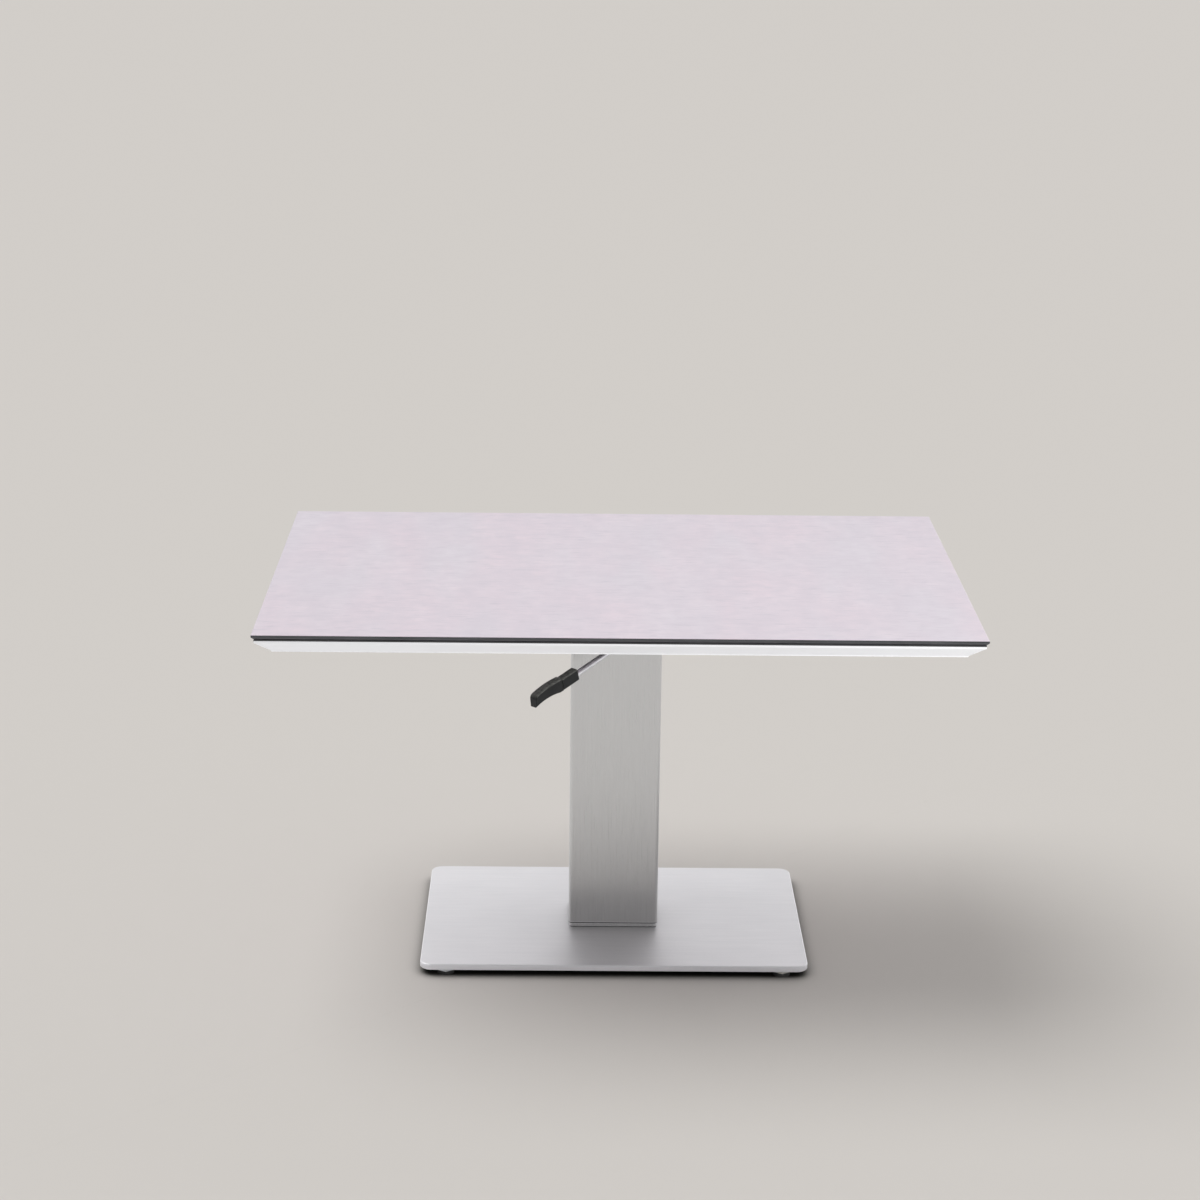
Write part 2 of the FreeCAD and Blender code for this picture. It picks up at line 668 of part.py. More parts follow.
def make_rivet_nuts():
    """Hexagonal threaded barrels set in the rails' lower walls."""
    body = helper_body("rivet_nut")
    sketch = new_sketch(body, "XY_Plane")
    hexagon(sketch, "rivet_nut_flats")
    circle(sketch, "mount_screw_shank / 2")
    pad(body, sketch, "rivet_nut_length")
    place(body, x="rail_spread / 2", y="mount_screw_spread / 2", z=RAIL_BOTTOM)
    group_of_four("rail_rivet_nuts", body)


def make_mounting_plate():
    """Plate under the rails; the sleeve and the head bracket are welded under it."""
    body = new_body("mounting_plate")
    sketch = new_sketch(body, "XY_Plane")
    cropped_rectangle(sketch, "(rail_spread + 2 * mount_margin_x)",
                      "(mount_screw_spread + 2 * mount_margin_y)", "mount_corner")
    pad(body, sketch, "mount_thickness")
    holes = new_sketch(body, "XY_Plane")
    for x, y in spread("rail_spread", "mount_screw_spread"):
        circle(holes, "mount_screw_shank / 2 + hole_play", x, y)
    pocket(body, holes)
    place(body, z=MOUNT_BOTTOM)


def make_screws(name, along_x, along_y, seat, length):
    """Four hexagon-head screws that point up, with their heads under a seat."""
    body = helper_body(name)
    head = new_sketch(body, "XY_Plane")
    hexagon(head, f"{name}_flats")
    pad(body, head, f"{name}_head", reverse=True)
    shank = new_sketch(body, "XY_Plane")
    circle(shank, f"{name}_shank / 2")
    pad(body, shank, length)
    place(body, x=f"{along_x} / 2", y=f"{along_y} / 2", z=seat)
    group_of_four(f"{name}s", body)


# ---------------------------------------------------------------- columns


def make_outer_sleeve():
    """Rectangular tube with a slot in its front wall for the lever."""
    body = new_body("outer_sleeve")
    section = new_sketch(body, "XY_Plane")
    rounded_rectangle(section, "sleeve_length", "sleeve_width", "sleeve_corner")
    rounded_rectangle(section, SLEEVE_BORE_X, SLEEVE_BORE_Y, SLEEVE_BORE_CORNER)
    pad(body, section, f"{MOUNT_BOTTOM} - {SLEEVE_BOTTOM}")
    rise = "(sleeve_width / 2 - pivot_forward) * sin(lever_travel_angle)"
    slot = new_sketch(body, "XZ_Plane", "sleeve_width / 2")
    width = "lever_rod_diameter + 2 * slot_play"
    middle = f"{LEVER_AXIS} - {SLEEVE_BOTTOM} + {rise} / 2"
    rounded_rectangle(slot, width, f"{width} + {rise}", "slot_corner", y=middle)
    pocket(body, slot, f"sleeve_wall + {OVERCUT}")
    place(body, z=SLEEVE_BOTTOM)


def make_lower_guide():
    """Plastic liner in the sleeve's lower end, which slides on the inner column."""
    body = new_body("lower_guide")
    section = new_sketch(body, "XY_Plane")
    cropped_rectangle(section, SLEEVE_BORE_X, SLEEVE_BORE_Y, "guide_crop")
    cropped_rectangle(section, f"({COLUMN_X} + 2 * guide_play)",
                      f"({COLUMN_Y} + 2 * guide_play)", "guide_crop")
    pad(body, section, "lower_guide_height")
    place(body, z=SLEEVE_BOTTOM)


def make_inner_column():
    """Rectangular tube that stands on the base plate."""
    body = new_body("inner_column")
    section = new_sketch(body, "XY_Plane")
    rounded_rectangle(section, COLUMN_X, COLUMN_Y, "column_corner")
    rounded_rectangle(section, COLUMN_BORE_X, COLUMN_BORE_Y, COLUMN_BORE_CORNER)
    pad(body, section, f"{COLUMN_TOP} - {PLATE_TOP}")
    place(body, z=PLATE_TOP)


def make_upper_guide():
    """Plastic cap around the inner column's top, which the sleeve slides on."""
    body = new_body("upper_guide")
    outer = (f"({SLEEVE_BORE_X} - 2 * guide_play)", f"({SLEEVE_BORE_Y} - 2 * guide_play)",
             "guide_crop")
    section = new_sketch(body, "XY_Plane")
    cropped_rectangle(section, *outer)
    cropped_rectangle(section, COLUMN_X, COLUMN_Y, "guide_crop")
    pad(body, section, "upper_guide_height")
    lip = new_sketch(body, "XY_Plane", "upper_guide_height")
    cropped_rectangle(lip, *outer)
    cropped_rectangle(lip, COLUMN_BORE_X, COLUMN_BORE_Y, "guide_crop")
    pad(body, lip, "guide_cap")
    place(body, z=f"{COLUMN_TOP} - upper_guide_height")


def make_foot_collar():
    """Strip around the inner column's foot, which stops the sleeve."""
    body = new_body("foot_collar")
    section = new_sketch(body, "XY_Plane")
    rounded_rectangle(section, "(sleeve_length - 2 * collar_setback)",
                      "(sleeve_width - 2 * collar_setback)", "(sleeve_corner - collar_setback)")
    cropped_rectangle(section, f"({COLUMN_X} + 2 * collar_play)",
                      f"({COLUMN_Y} + 2 * collar_play)", "guide_crop")
    pad(body, section, "collar_height")
    place(body, z=PLATE_TOP)


# ---------------------------------------------------------------- base


def make_base_plate():
    """Flat plate with rounded corners, bevelled edges and holes for its screws."""
    body = new_body("base_plate")
    sketch = new_sketch(body, "XY_Plane")
    rounded_rectangle(sketch, "plate_length", "plate_width", "plate_corner")
    pad(body, sketch, "plate_thickness")
    upper = faces_where(body, level_face("plate_thickness"))
    dress(body, "Chamfer", upper, "plate_upper_bevel")
    dress(body, "Chamfer", faces_where(body, level_face("0")), "plate_lower_bevel")
    studs = new_sketch(body, "XY_Plane")
    for x, y in spread(GLIDE_X, GLIDE_Y):
        circle(studs, "glide_stud / 2 + glide_stud_play", x, y)
    pocket(body, studs, "glide_hole_depth", reverse=True)
    holes = new_sketch(body, "XY_Plane")
    for x, y in spread(FOOT_SCREW_X, FOOT_SCREW_Y):
        circle(holes, "foot_screw_shank / 2 + hole_play", x, y)
    pocket(body, holes)
    place(body, z="floor_gap")


def make_foot_flange():
    """Thick plate welded in the inner column's foot, tapped for the foot screws."""
    body = new_body("foot_flange")
    sketch = new_sketch(body, "XY_Plane")
    cropped_rectangle(sketch, f"({COLUMN_BORE_X} - 2 * flange_play)",
                      f"({COLUMN_BORE_Y} - 2 * flange_play)", COLUMN_BORE_CORNER)
    pad(body, sketch, "flange_thickness")
    holes = new_sketch(body, "XY_Plane")
    for x, y in spread(FOOT_SCREW_X, FOOT_SCREW_Y):
        circle(holes, "foot_screw_shank / 2", x, y)
    circle(holes, "cylinder_stud / 2")
    pocket(body, holes)
    place(body, z=PLATE_TOP)


def make_foot_screws():
    """Four thin-head screws up through the base plate into the foot flange."""
    length = "(plate_thickness + flange_thickness - thread_end_gap)"
    make_screws("foot_screw", FOOT_SCREW_X, FOOT_SCREW_Y, "floor_gap", length)


def make_glide(place_name, x_side, y_side):
    """A levelling glide: a stud with a hexagonal flange, and the pad bonded under it."""
    x, y = f"{x_side}{GLIDE_X} / 2", f"{y_side}{GLIDE_Y} / 2"
    flange_bottom = "(floor_gap - glide_seat_gap - glide_flange_height)"
    stud_length = "(glide_seat_gap + glide_hole_depth - glide_end_gap)"
    metal = new_body("glide_stud_" + place_name)
    flange = new_sketch(metal, "XY_Plane")
    hexagon(flange, "glide_flange")
    pad(metal, flange, "glide_flange_height")
    stud = new_sketch(metal, "XY_Plane", "glide_flange_height")
    circle(stud, "glide_stud / 2")
    pad(metal, stud, stud_length)
    place(metal, x=x, y=y, z=flange_bottom)
    foot = new_body("glide_pad_" + place_name)
    disc = new_sketch(foot, "XY_Plane")
    circle(disc, "glide_pad / 2")
    pad(foot, disc, flange_bottom)
    place(foot, x=x, y=y)


# ---------------------------------------------------------------- gas spring


def make_gas_cylinder():
    """Closed tube with a foot stud; its rolled end holds the rod guide."""
    body = new_body("gas_cylinder")
    outer, stud = "cylinder_outer / 2", "cylinder_stud / 2"
    guide = "(rod_diameter / 2 + rod_play)"
    floor = f"({CYLINDER_BOTTOM} + cylinder_base)"
    stud_end = f"({PLATE_TOP} + thread_end_gap)"
    revolve(body, [
        ("0", stud_end), (stud, stud_end), (stud, CYLINDER_BOTTOM), (outer, CYLINDER_BOTTOM),
        (outer, CYLINDER_TOP), (guide, CYLINDER_TOP), (guide, GLAND_BOTTOM),
        (CYLINDER_BORE, GLAND_BOTTOM), (CYLINDER_BORE, floor), ("0", floor),
    ])


def make_hex_nut(body, height, bore, level):
    """A hexagonal nut with its lower face at a level."""
    sketch = new_sketch(body, "XY_Plane")
    hexagon(sketch, "lock_nut_flats")
    circle(sketch, bore)
    pad(body, sketch, height)
    place(body, z=level)


def make_piston_rod():
    """Rod from its piston to the head bracket, bored for the release pin."""
    body = new_body("piston_rod")
    outer, bore, rim = "rod_diameter / 2", "rod_bore / 2", f"({CYLINDER_BORE} - piston_play)"
    tail = f"({PISTON_BOTTOM} - piston_tail)"
    revolve(body, [
        ("0", tail), (outer, tail), (outer, PISTON_BOTTOM), (rim, PISTON_BOTTOM),
        (rim, PISTON_TOP), (outer, PISTON_TOP), (outer, ROD_TOP), (bore, ROD_TOP),
        (bore, VALVE_SEAT), ("0", VALVE_SEAT),
    ])


def make_release_pin():
    """Long pin in the rod, with a domed top that the lever hub presses."""
    body = new_body("release_pin")
    radius, dome = "pin_diameter / 2", f"({PIN_TOP} - pin_diameter / 4)"
    foot = f"({VALVE_SEAT} + pin_foot_gap)"
    revolve(body, [("0", foot), (radius, foot), (radius, dome), ("0", PIN_TOP)])


# ---------------------------------------------------------------- head bracket and lever


def make_head_bracket():
    """Bent sheet: a tapped web for the piston rod and two cheeks for the pivot."""
    body = new_body("head_bracket")
    tall = f"({MOUNT_BOTTOM} - {WEB_BOTTOM})"
    section = new_sketch(body, "XZ_Plane")
    outline(section, [
        (f"-{CHEEK_OUTSIDE}", "0"), (CHEEK_OUTSIDE, "0"), (CHEEK_OUTSIDE, tall),
        (CHEEK_INSIDE, tall), (CHEEK_INSIDE, "bracket_sheet"),
        (f"-{CHEEK_INSIDE}", "bracket_sheet"), (f"-{CHEEK_INSIDE}", tall),
        (f"-{CHEEK_OUTSIDE}", tall),
    ])
    pad(body, section, "(bracket_front + bracket_rear)", midplane=True)
    round_bend(body, CHEEK_INSIDE, "bracket_sheet", "bracket_bend")
    round_bend(body, CHEEK_OUTSIDE, "0", "bracket_bend + bracket_sheet")
    shift = "(bracket_front - bracket_rear) / 2"
    thread = new_sketch(body, "XY_Plane")
    circle(thread, "rod_diameter / 2", y=shift)
    pocket(body, thread)
    pivot = new_sketch(body, "YZ_Plane")
    circle(pivot, "pivot_diameter / 2 + pivot_play", f"{shift} - pivot_forward",
           f"{LEVER_AXIS} - {WEB_BOTTOM}")
    pocket(body, pivot)
    place(body, y=f"-{shift}", z=WEB_BOTTOM)


def round_bend(body, x, z, radius):
    """Round the bracket's two edges along Y that pass through (x, z) and (-x, z)."""
    spots = [FreeCAD.Vector(side * value(x), 0, value(z)) for side in (1, -1)]
    names = edges_where(body, lambda edge: same_place(edge, Y_AXIS, spots))
    dress(body, "Fillet", names, radius)


def make_pivot_pin():
    """Headed pin through both cheeks and the hub, held by a clip."""
    body = new_body("pivot_pin")
    pin, head = "pivot_diameter / 2", "pivot_head / 2"
    near, far = f"-{CHEEK_OUTSIDE}", f"({CHEEK_OUTSIDE} + clip_gap)"
    end = f"({far} + clip_thickness + pivot_tail)"
    revolve(body, [("0", f"{near} - pivot_head_height"), (head, f"{near} - pivot_head_height"),
                   (head, near), (pin, near), (pin, end), ("0", end)])
    place(body, y="-pivot_forward", z=LEVER_AXIS, pitch="90")
    clip = new_body("pivot_clip")
    sketch = new_sketch(clip, "XY_Plane")
    circle(sketch, "clip_outer / 2")
    circle(sketch, pin)
    pad(clip, sketch, "clip_thickness")
    mouth = new_sketch(clip, "XY_Plane")
    rectangle(mouth, "clip_opening", "clip_outer", y=f"-clip_outer / 2 - {pin} / 2")
    pocket(clip, mouth)
    place(clip, x=far, y="-pivot_forward", z=LEVER_AXIS, pitch="90")


def make_lever_hub():
    """Block on the pivot: a rod socket in front, the presser over the pin behind."""
    body = new_body("lever_hub")
    side = new_sketch(body, "YZ_Plane")
    middle = "(hub_rear - hub_front) / 2"
    cropped_rectangle(side, "(hub_front + hub_rear)", "hub_height", "hub_crop", x=middle)
    circle(side, "pivot_diameter / 2 + pivot_play")
    pad(body, side, "hub_width", midplane=True)
    socket = new_sketch(body, "XZ_Plane", "hub_front")
    circle(socket, "lever_rod_diameter / 2")
    pocket(body, socket, "hub_socket")
    place(body, y="-pivot_forward", z=LEVER_AXIS)


def make_lever_rod():
    """Round rod with one bend.

    The rod lies in its own XY plane, starts along -Y and bends towards -X. The
    body is then turned about Y, so that the outer leg falls as well as swings.
    """
    body = new_body("lever_rod")
    bend = "acos(cos(lever_swing) * cos(lever_fall))"
    roll = "atan(tan(lever_fall) / sin(lever_swing))"
    leg_start = "-(pivot_forward + hub_front - hub_socket)"
    tangent = f"(lever_bend_radius * tan({bend} / 2))"
    arc_start = f"(-{LEVER_BEND} + {tangent})"
    reach = "(lever_reach + grip_grasp)"
    arc_end = (f"(-{tangent} * sin({bend}))",
               f"(-{LEVER_BEND} - {tangent} * cos({bend}))")
    leg_end = (f"(-{reach} * sin({bend}))", f"(-{LEVER_BEND} - {reach} * cos({bend}))")
    path = new_sketch(body, "XY_Plane")
    first = line(path, ("0", leg_start), ("0", arc_start))
    turn = math.radians(value(bend))
    centre = FreeCAD.Vector(-value("lever_bend_radius"), value(arc_start), 0)
    ring = Part.Circle(centre, Z_AXIS, value("lever_bend_radius"))
    arc = path.addGeometry(Part.ArcOfCircle(ring, -turn, 0), False)
    last = line(path, arc_end, leg_end)
    path.addConstraint(Sketcher.Constraint("Coincident", first, 2, arc, 2))
    path.addConstraint(Sketcher.Constraint("Coincident", arc, 1, last, 1))
    bind(path, "DistanceX", first, 1, "0")
    bind(path, "DistanceY", first, 1, leg_start)
    bind(path, "DistanceX", first, 2, "0")
    bind(path, "DistanceY", first, 2, arc_start)
    bind(path, "DistanceX", last, 1, arc_end[0])
    bind(path, "DistanceY", last, 1, arc_end[1])
    bind(path, "DistanceX", last, 2, leg_end[0])
    bind(path, "DistanceY", last, 2, leg_end[1])
    bind(path, "Radius", arc, None, "lever_bend_radius")
    section = new_sketch(body, "XZ_Plane", f"-{leg_start}")
    circle(section, "lever_rod_diameter / 2")
    pipe = body.newObject("PartDesign::AdditivePipe", "lever_rod_pipe")
    pipe.Profile = section
    pipe.Spine = (path, [])
    document.recompute()
    place(body, z=LEVER_AXIS, pitch=f"-{roll}")


def make_lever_grip():
    """Moulded grip: a block around the rod, then a handle with a hollow for the fingers."""
    body = new_body("lever_grip")
    shoulder = "(grip_length - grip_end_lean)"
    side = new_sketch(body, "XZ_Plane")
    curved_outline(side, [
        ("grip_block_length", "-grip_under", None, True),
        ("grip_heel", "-grip_under", "grip_finger_radius", False),
        ("grip_length", "-grip_tip_under", None, True),
        (shoulder, "grip_top - grip_nose_drop", "grip_nose_radius", True),
        (f"{shoulder} - grip_nose_back", "grip_top", "grip_top_radius", True),
        ("grip_block_length", "grip_top", None, True),
    ])
    pad(body, side, "grip_width", midplane=True)
    dress(body, "Chamfer", faces_where(body, side_face("grip_width / 2")), "grip_chamfer")
    block = new_sketch(body, "YZ_Plane")
    cropped_rectangle(block, "grip_block_width", "(grip_block_top + grip_block_under)",
                      "grip_block_crop", y="(grip_block_top - grip_block_under) / 2")
    pad(body, block, "grip_block_length")
    relief = new_sketch(body, "YZ_Plane")
    circle(relief, "grip_mouth / 2")
    pocket(body, relief, "grip_mouth_depth", reverse=True)
    bore = new_sketch(body, "YZ_Plane")
    circle(bore, "lever_rod_diameter / 2")
    pocket(body, bore, "grip_grasp", reverse=True)
    along = "(lever_reach * cos(lever_fall))"
    place(body, x=f"-{along} * sin(lever_swing)",
          y=f"-{LEVER_BEND} - {along} * cos(lever_swing)",
          z=f"{LEVER_AXIS} - lever_reach * sin(lever_fall)",
          yaw="270 - lever_swing", pitch="lever_fall")


# ---------------------------------------------------------------- build and write


def make_top_pieces():
    make_table_top()
    make_bonding_tape()
    make_frame()
    make_corner_cleats()
    make_rail("rail_left", "-")
    make_rail("rail_right", "")
    make_rivet_nuts()
    make_mounting_plate()
    make_screws("mount_screw", "rail_spread", "mount_screw_spread", MOUNT_BOTTOM,
                "mount_screw_length")


def make_column_pieces():
    make_outer_sleeve()
    make_lower_guide()
    make_inner_column()
    make_upper_guide()
    make_foot_collar()


def make_base_pieces():
    make_base_plate()
    make_foot_flange()
    make_foot_screws()
    for x_name, x_side in (("left", "-"), ("right", "")):
        for y_name, y_side in (("front", "-"), ("back", "")):
            make_glide(f"{y_name}_{x_name}", x_side, y_side)


def make_spring_pieces():
    make_gas_cylinder()
    make_hex_nut(new_body("cylinder_lock_nut"), "lock_nut_height", "cylinder_stud / 2",
                 f"{PLATE_TOP} + flange_thickness")
    make_piston_rod()
    make_hex_nut(new_body("rod_nut"), "rod_nut_height", "rod_diameter / 2",
                 f"{WEB_BOTTOM} - rod_nut_height")
    make_release_pin()


def make_lever_pieces():
    make_head_bracket()
    make_pivot_pin()
    make_lever_hub()
    make_lever_rod()
    make_lever_grip()


def check_document():
    """Stop if any object failed or any sub-part has no valid solid."""
    for thing in document.Objects:
        if {"Invalid", "Error"} & set(thing.State):
            raise RuntimeError(f"{thing.Label} failed: {thing.State}")
    for node in nodes:
        if node.Shape.isNull() or not node.Shape.isValid() or not node.Shape.Solids:
            raise RuntimeError(f"{node.Label} has no valid solid")


def write_steps():
    """One STEP file for each sub-part."""
    os.makedirs("parts", exist_ok=True)
    for node in nodes:
        node.Shape.exportStep(f"parts/{node.Label}.step")
        print(f"{node.Label}: {len(node.Shape.Solids)} solid(s)")


fill_sheet()
make_top_pieces()
make_column_pieces()
make_base_pieces()
make_spring_pieces()
make_lever_pieces()
document.recompute()
check_document()
write_steps()
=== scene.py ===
import math

import bpy
from mathutils import Matrix, Vector


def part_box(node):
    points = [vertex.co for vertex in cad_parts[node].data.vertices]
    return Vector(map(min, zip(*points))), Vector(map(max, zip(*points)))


# Looks of the telescoping pedestal table: finishes, softened edges, floor, light and camera.
# Metres throughout, in the frame of the CAD model: the floor is z = 0 and the viewer stands at -Y.

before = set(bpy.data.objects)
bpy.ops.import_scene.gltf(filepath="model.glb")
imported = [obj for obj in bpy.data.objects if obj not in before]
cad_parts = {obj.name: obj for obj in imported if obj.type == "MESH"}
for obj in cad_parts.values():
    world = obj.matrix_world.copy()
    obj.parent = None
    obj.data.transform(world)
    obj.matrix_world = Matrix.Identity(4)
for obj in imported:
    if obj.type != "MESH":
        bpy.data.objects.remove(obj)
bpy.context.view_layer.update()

# ---------------------------------------------------------------- camera

CAMERA_PLACE = (-0.0666, -3.4967, 1.4933)
CAMERA_PITCH = math.radians(16.39)
CAMERA_YAW = math.radians(-0.729)
CAMERA_ROLL = math.radians(0.684)
CAMERA_LENS = 82.54
SENSOR_WIDTH = 36.0


def make_camera():
    """The photograph's own viewpoint."""
    data = bpy.data.cameras.new("camera")
    data.sensor_width = SENSOR_WIDTH
    data.lens = CAMERA_LENS
    camera = bpy.data.objects.new("camera", data)
    level = math.pi / 2
    turn = Matrix.Rotation(CAMERA_YAW, 4, "Z")
    tilt = Matrix.Rotation(level - CAMERA_PITCH, 4, "X")
    roll = Matrix.Rotation(CAMERA_ROLL, 4, "Z")
    camera.matrix_world = Matrix.Translation(CAMERA_PLACE) @ turn @ tilt @ roll
    bpy.context.collection.objects.link(camera)
    bpy.context.scene.camera = camera


# ---------------------------------------------------------------- colours and nodes

SCREEN_WHITE = 255
EDGE_FROM, EDGE_TO = 0.99, 0.85  # cosine of the turn that rounding gives a normal, beside an edge and on it
EDGE_SAMPLES = 4
ALONG_AXIS = 0.99999  # largest share of a normal that lies along an axis
FACES_DOWN = -0.9


def shown(red, green, blue):
    """The shader's linear colour, by the sRGB curve, for a colour as a screen shows it, 0 to 255."""
    share = [channel / SCREEN_WHITE for channel in (red, green, blue)]
    linear = [c / 12.92 if c <= 0.04045 else ((c + 0.055) / 1.055) ** 2.4 for c in share]
    return (*linear, 1.0)


def new_finish(name, **sockets):
    """A material and its shader, with the sockets that are the same all over the surface."""
    material = bpy.data.materials.new(name)
    material.use_nodes = True
    shader = material.node_tree.nodes["Principled BSDF"]
    for socket, value in sockets.items():
        shader.inputs[socket.replace("_", " ")].default_value = value
    return material, material.node_tree, shader


def add(tree, kind, inputs, **settings):
    """A node with its settings, whose inputs are set to a value or linked to a socket."""
    node = tree.nodes.new("ShaderNode" + kind)
    for name, value in settings.items():
        setattr(node, name, value)
    for name, value in inputs.items():
        if isinstance(value, bpy.types.NodeSocket):
            tree.links.new(value, node.inputs[name])
        else:
            node.inputs[name].default_value = value
    return node


def place(tree):
    """A point's place on its own piece, in metres: it moves with the piece."""
    return add(tree, "TexCoord", {}).outputs["Object"]


def height(tree):
    """How high a point lies on its piece at rest, in metres."""
    return add(tree, "SeparateXYZ", {"Vector": place(tree)}).outputs["Z"]


def noise(tree, scale, detail=2.0, roughness=0.5, distortion=0.0):
    """Noise with so many waves to the metre along X, Y and Z."""
    mapping = add(tree, "Mapping", {"Vector": place(tree), "Scale": scale})
    inputs = {
        "Vector": mapping.outputs[0],
        "Scale": 1.0,
        "Detail": detail,
        "Roughness": roughness,
        "Distortion": distortion,
    }
    return add(tree, "TexNoise", inputs).outputs["Fac"]


def even_noise(tree, scale, detail=2.0):
    """Noise with as many waves to the metre in every direction."""
    return noise(tree, (scale, scale, scale), detail)


def cells(tree, scale):
    """The distance from the middle of small cells, so many to the metre."""
    return add(tree, "TexVoronoi", {"Vector": place(tree), "Scale": scale}).outputs["Distance"]


def spread(tree, value, low, high, to_low=0.0, to_high=1.0):
    """Stretches the part of a value between low and high over the range from to_low to to_high."""
    inputs = {
        "Value": value,
        "From Min": low,
        "From Max": high,
        "To Min": to_low,
        "To Max": to_high,
    }
    return add(tree, "MapRange", inputs, clamp=True).outputs["Result"]


def mix(tree, share, first, second, blend="MIX"):
    """The first colour, turning into the second, or blended with it, by a share."""
    inputs = {"Fac": share, "Color1": first, "Color2": second}
    return add(tree, "MixRGB", inputs, blend_type=blend).outputs["Color"]


def veil(tree, under, over, value, low=0.0, high=1.0, most=1.0):
    """Lays one colour over another by a value: none of it at low, and the most at high."""
    return mix(tree, spread(tree, value, low, high, to_high=most), under, over)


def maths(tree, operation, first, second):
    """One arithmetic step on two values."""
    return add(tree, "Math", {0: first, 1: second}, operation=operation).outputs[0]


def total(tree, first, first_share, second, second_share):
    """Two values added up, each times its share."""
    parts = [maths(tree, "MULTIPLY", *pair) for pair in ((first, first_share), (second, second_share))]
    return maths(tree, "ADD", *parts)


def near(tree, value, level, reach):
    """1 where a value lies within reach of a level, and 0 elsewhere."""
    return add(tree, "Math", {0: value, 1: level, 2: reach}, operation="COMPARE").outputs[0]


def raise_by(tree, relief, depth, under=None):
    """A bump of that depth in metres from a relief between 0 and 1."""
    inputs = {"Height": relief, "Distance": depth, "Strength": 1.0}
    if under:
        inputs["Normal"] = under
    return add(tree, "Bump", inputs).outputs["Normal"]


def edges(tree, width):
    """1 along the piece's edges and 0 away from them."""
    soft = add(tree, "Bevel", {"Radius": width}, samples=EDGE_SAMPLES).outputs[0]
    true = add(tree, "NewGeometry", {}).outputs["Normal"]
    cosine = add(tree, "VectorMath", {0: soft, 1: true}, operation="DOT_PRODUCT").outputs["Value"]
    return spread(tree, cosine, EDGE_FROM, EDGE_TO)


def face_way(tree):
    """How far a face looks up: 1 for a level face seen from above, -1 for one seen from below."""
    true = add(tree, "NewGeometry", {}).outputs["True Normal"]
    return add(tree, "SeparateXYZ", {"Vector": true}).outputs["Z"]


def underside(tree):
    """1 on the faces that look down."""
    return maths(tree, "LESS_THAN", face_way(tree), FACES_DOWN)


def flat_normal(tree):
    """The true normal on faces that lie along the axes, and the smoothed one on the round corners."""
    geometry = add(tree, "NewGeometry", {})
    size = add(tree, "VectorMath", {0: geometry.outputs["True Normal"]}, operation="ABSOLUTE")
    parts = add(tree, "SeparateXYZ", {"Vector": size.outputs["Vector"]}).outputs
    largest = maths(tree, "MAXIMUM", maths(tree, "MAXIMUM", parts["X"], parts["Y"]), parts["Z"])
    flat = maths(tree, "GREATER_THAN", largest, ALONG_AXIS)
    return mix(tree, flat, geometry.outputs["Normal"], geometry.outputs["True Normal"])


def wire(tree, shader, color=None, roughness=None, normal=None):
    """Joins what varies over the surface to the shader."""
    joined = {"Base Color": color, "Roughness": roughness, "Normal": normal}
    for name, socket in joined.items():
        if socket:
            tree.links.new(socket, shader.inputs[name])


# ---------------------------------------------------------------- finishes

TOP_LOW, TOP_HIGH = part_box("table_top")
FRAME_LOW, FRAME_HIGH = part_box("frame_front")
SLEEVE_LOW, SLEEVE_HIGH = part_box("outer_sleeve")
PLATE_LOW, PLATE_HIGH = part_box("base_plate")
DECOR_SHEET = 0.0007
SHADE_BAND_DEPTH = 0.0019  # painted shade along the frame's upper edge, under the laminate
SEAM_SHADE_WIDTH = 0.0009  # width of the painted shade along a seam at the column's foot


def laminate():
    """Compact laminate: pale printed sheets with faint streaks along X, on both sides of a dark core."""
    material, tree, shader = new_finish("laminate_finish")
    patches = noise(tree, (13, 4, 13), detail=2, roughness=0.5, distortion=0.2)
    linen = spread(tree, noise(tree, (60, 260, 60), detail=3, roughness=0.6), 0.3, 0.7)
    mottle = noise(tree, (27, 8, 27), detail=3, roughness=0.6)
    streaks = noise(tree, (38, 52, 38), detail=3, roughness=0.6)
    dashes = noise(tree, (34, 150, 34), detail=3, roughness=0.55)
    grain = even_noise(tree, 900)
    decor = veil(tree, shown(211, 204, 212), shown(219, 202, 211), patches, low=0.35, high=0.65)
    decor = veil(tree, decor, shown(218, 211, 218), linen, most=0.5)
    decor = veil(tree, decor, shown(198, 189, 199), mottle, low=0.3, high=0.7, most=0.42)
    decor = veil(tree, decor, shown(199, 190, 200), streaks, low=0.3, high=0.7, most=0.6)
    decor = veil(tree, decor, shown(190, 183, 193), dashes, low=0.56, high=0.72, most=0.5)
    decor = veil(tree, decor, shown(200, 195, 202), grain, low=0.4, high=0.7, most=0.12)
    layers = noise(tree, (20, 20, 900), detail=1)
    core = veil(tree, shown(50, 51, 53), shown(70, 71, 73), layers, low=0.3, high=0.7)
    upper_sheet = maths(tree, "GREATER_THAN", height(tree), TOP_HIGH.z - DECOR_SHEET)
    pale = maths(tree, "MAXIMUM", upper_sheet, underside(tree))
    color = mix(tree, pale, core, decor)
    relief = total(tree, linen, 0.6, grain, 0.4)
    rough = spread(tree, relief, 0.2, 0.8, to_low=0.42, to_high=0.55)
    wire(tree, shader, color, rough, raise_by(tree, relief, depth=0.00005))
    return material


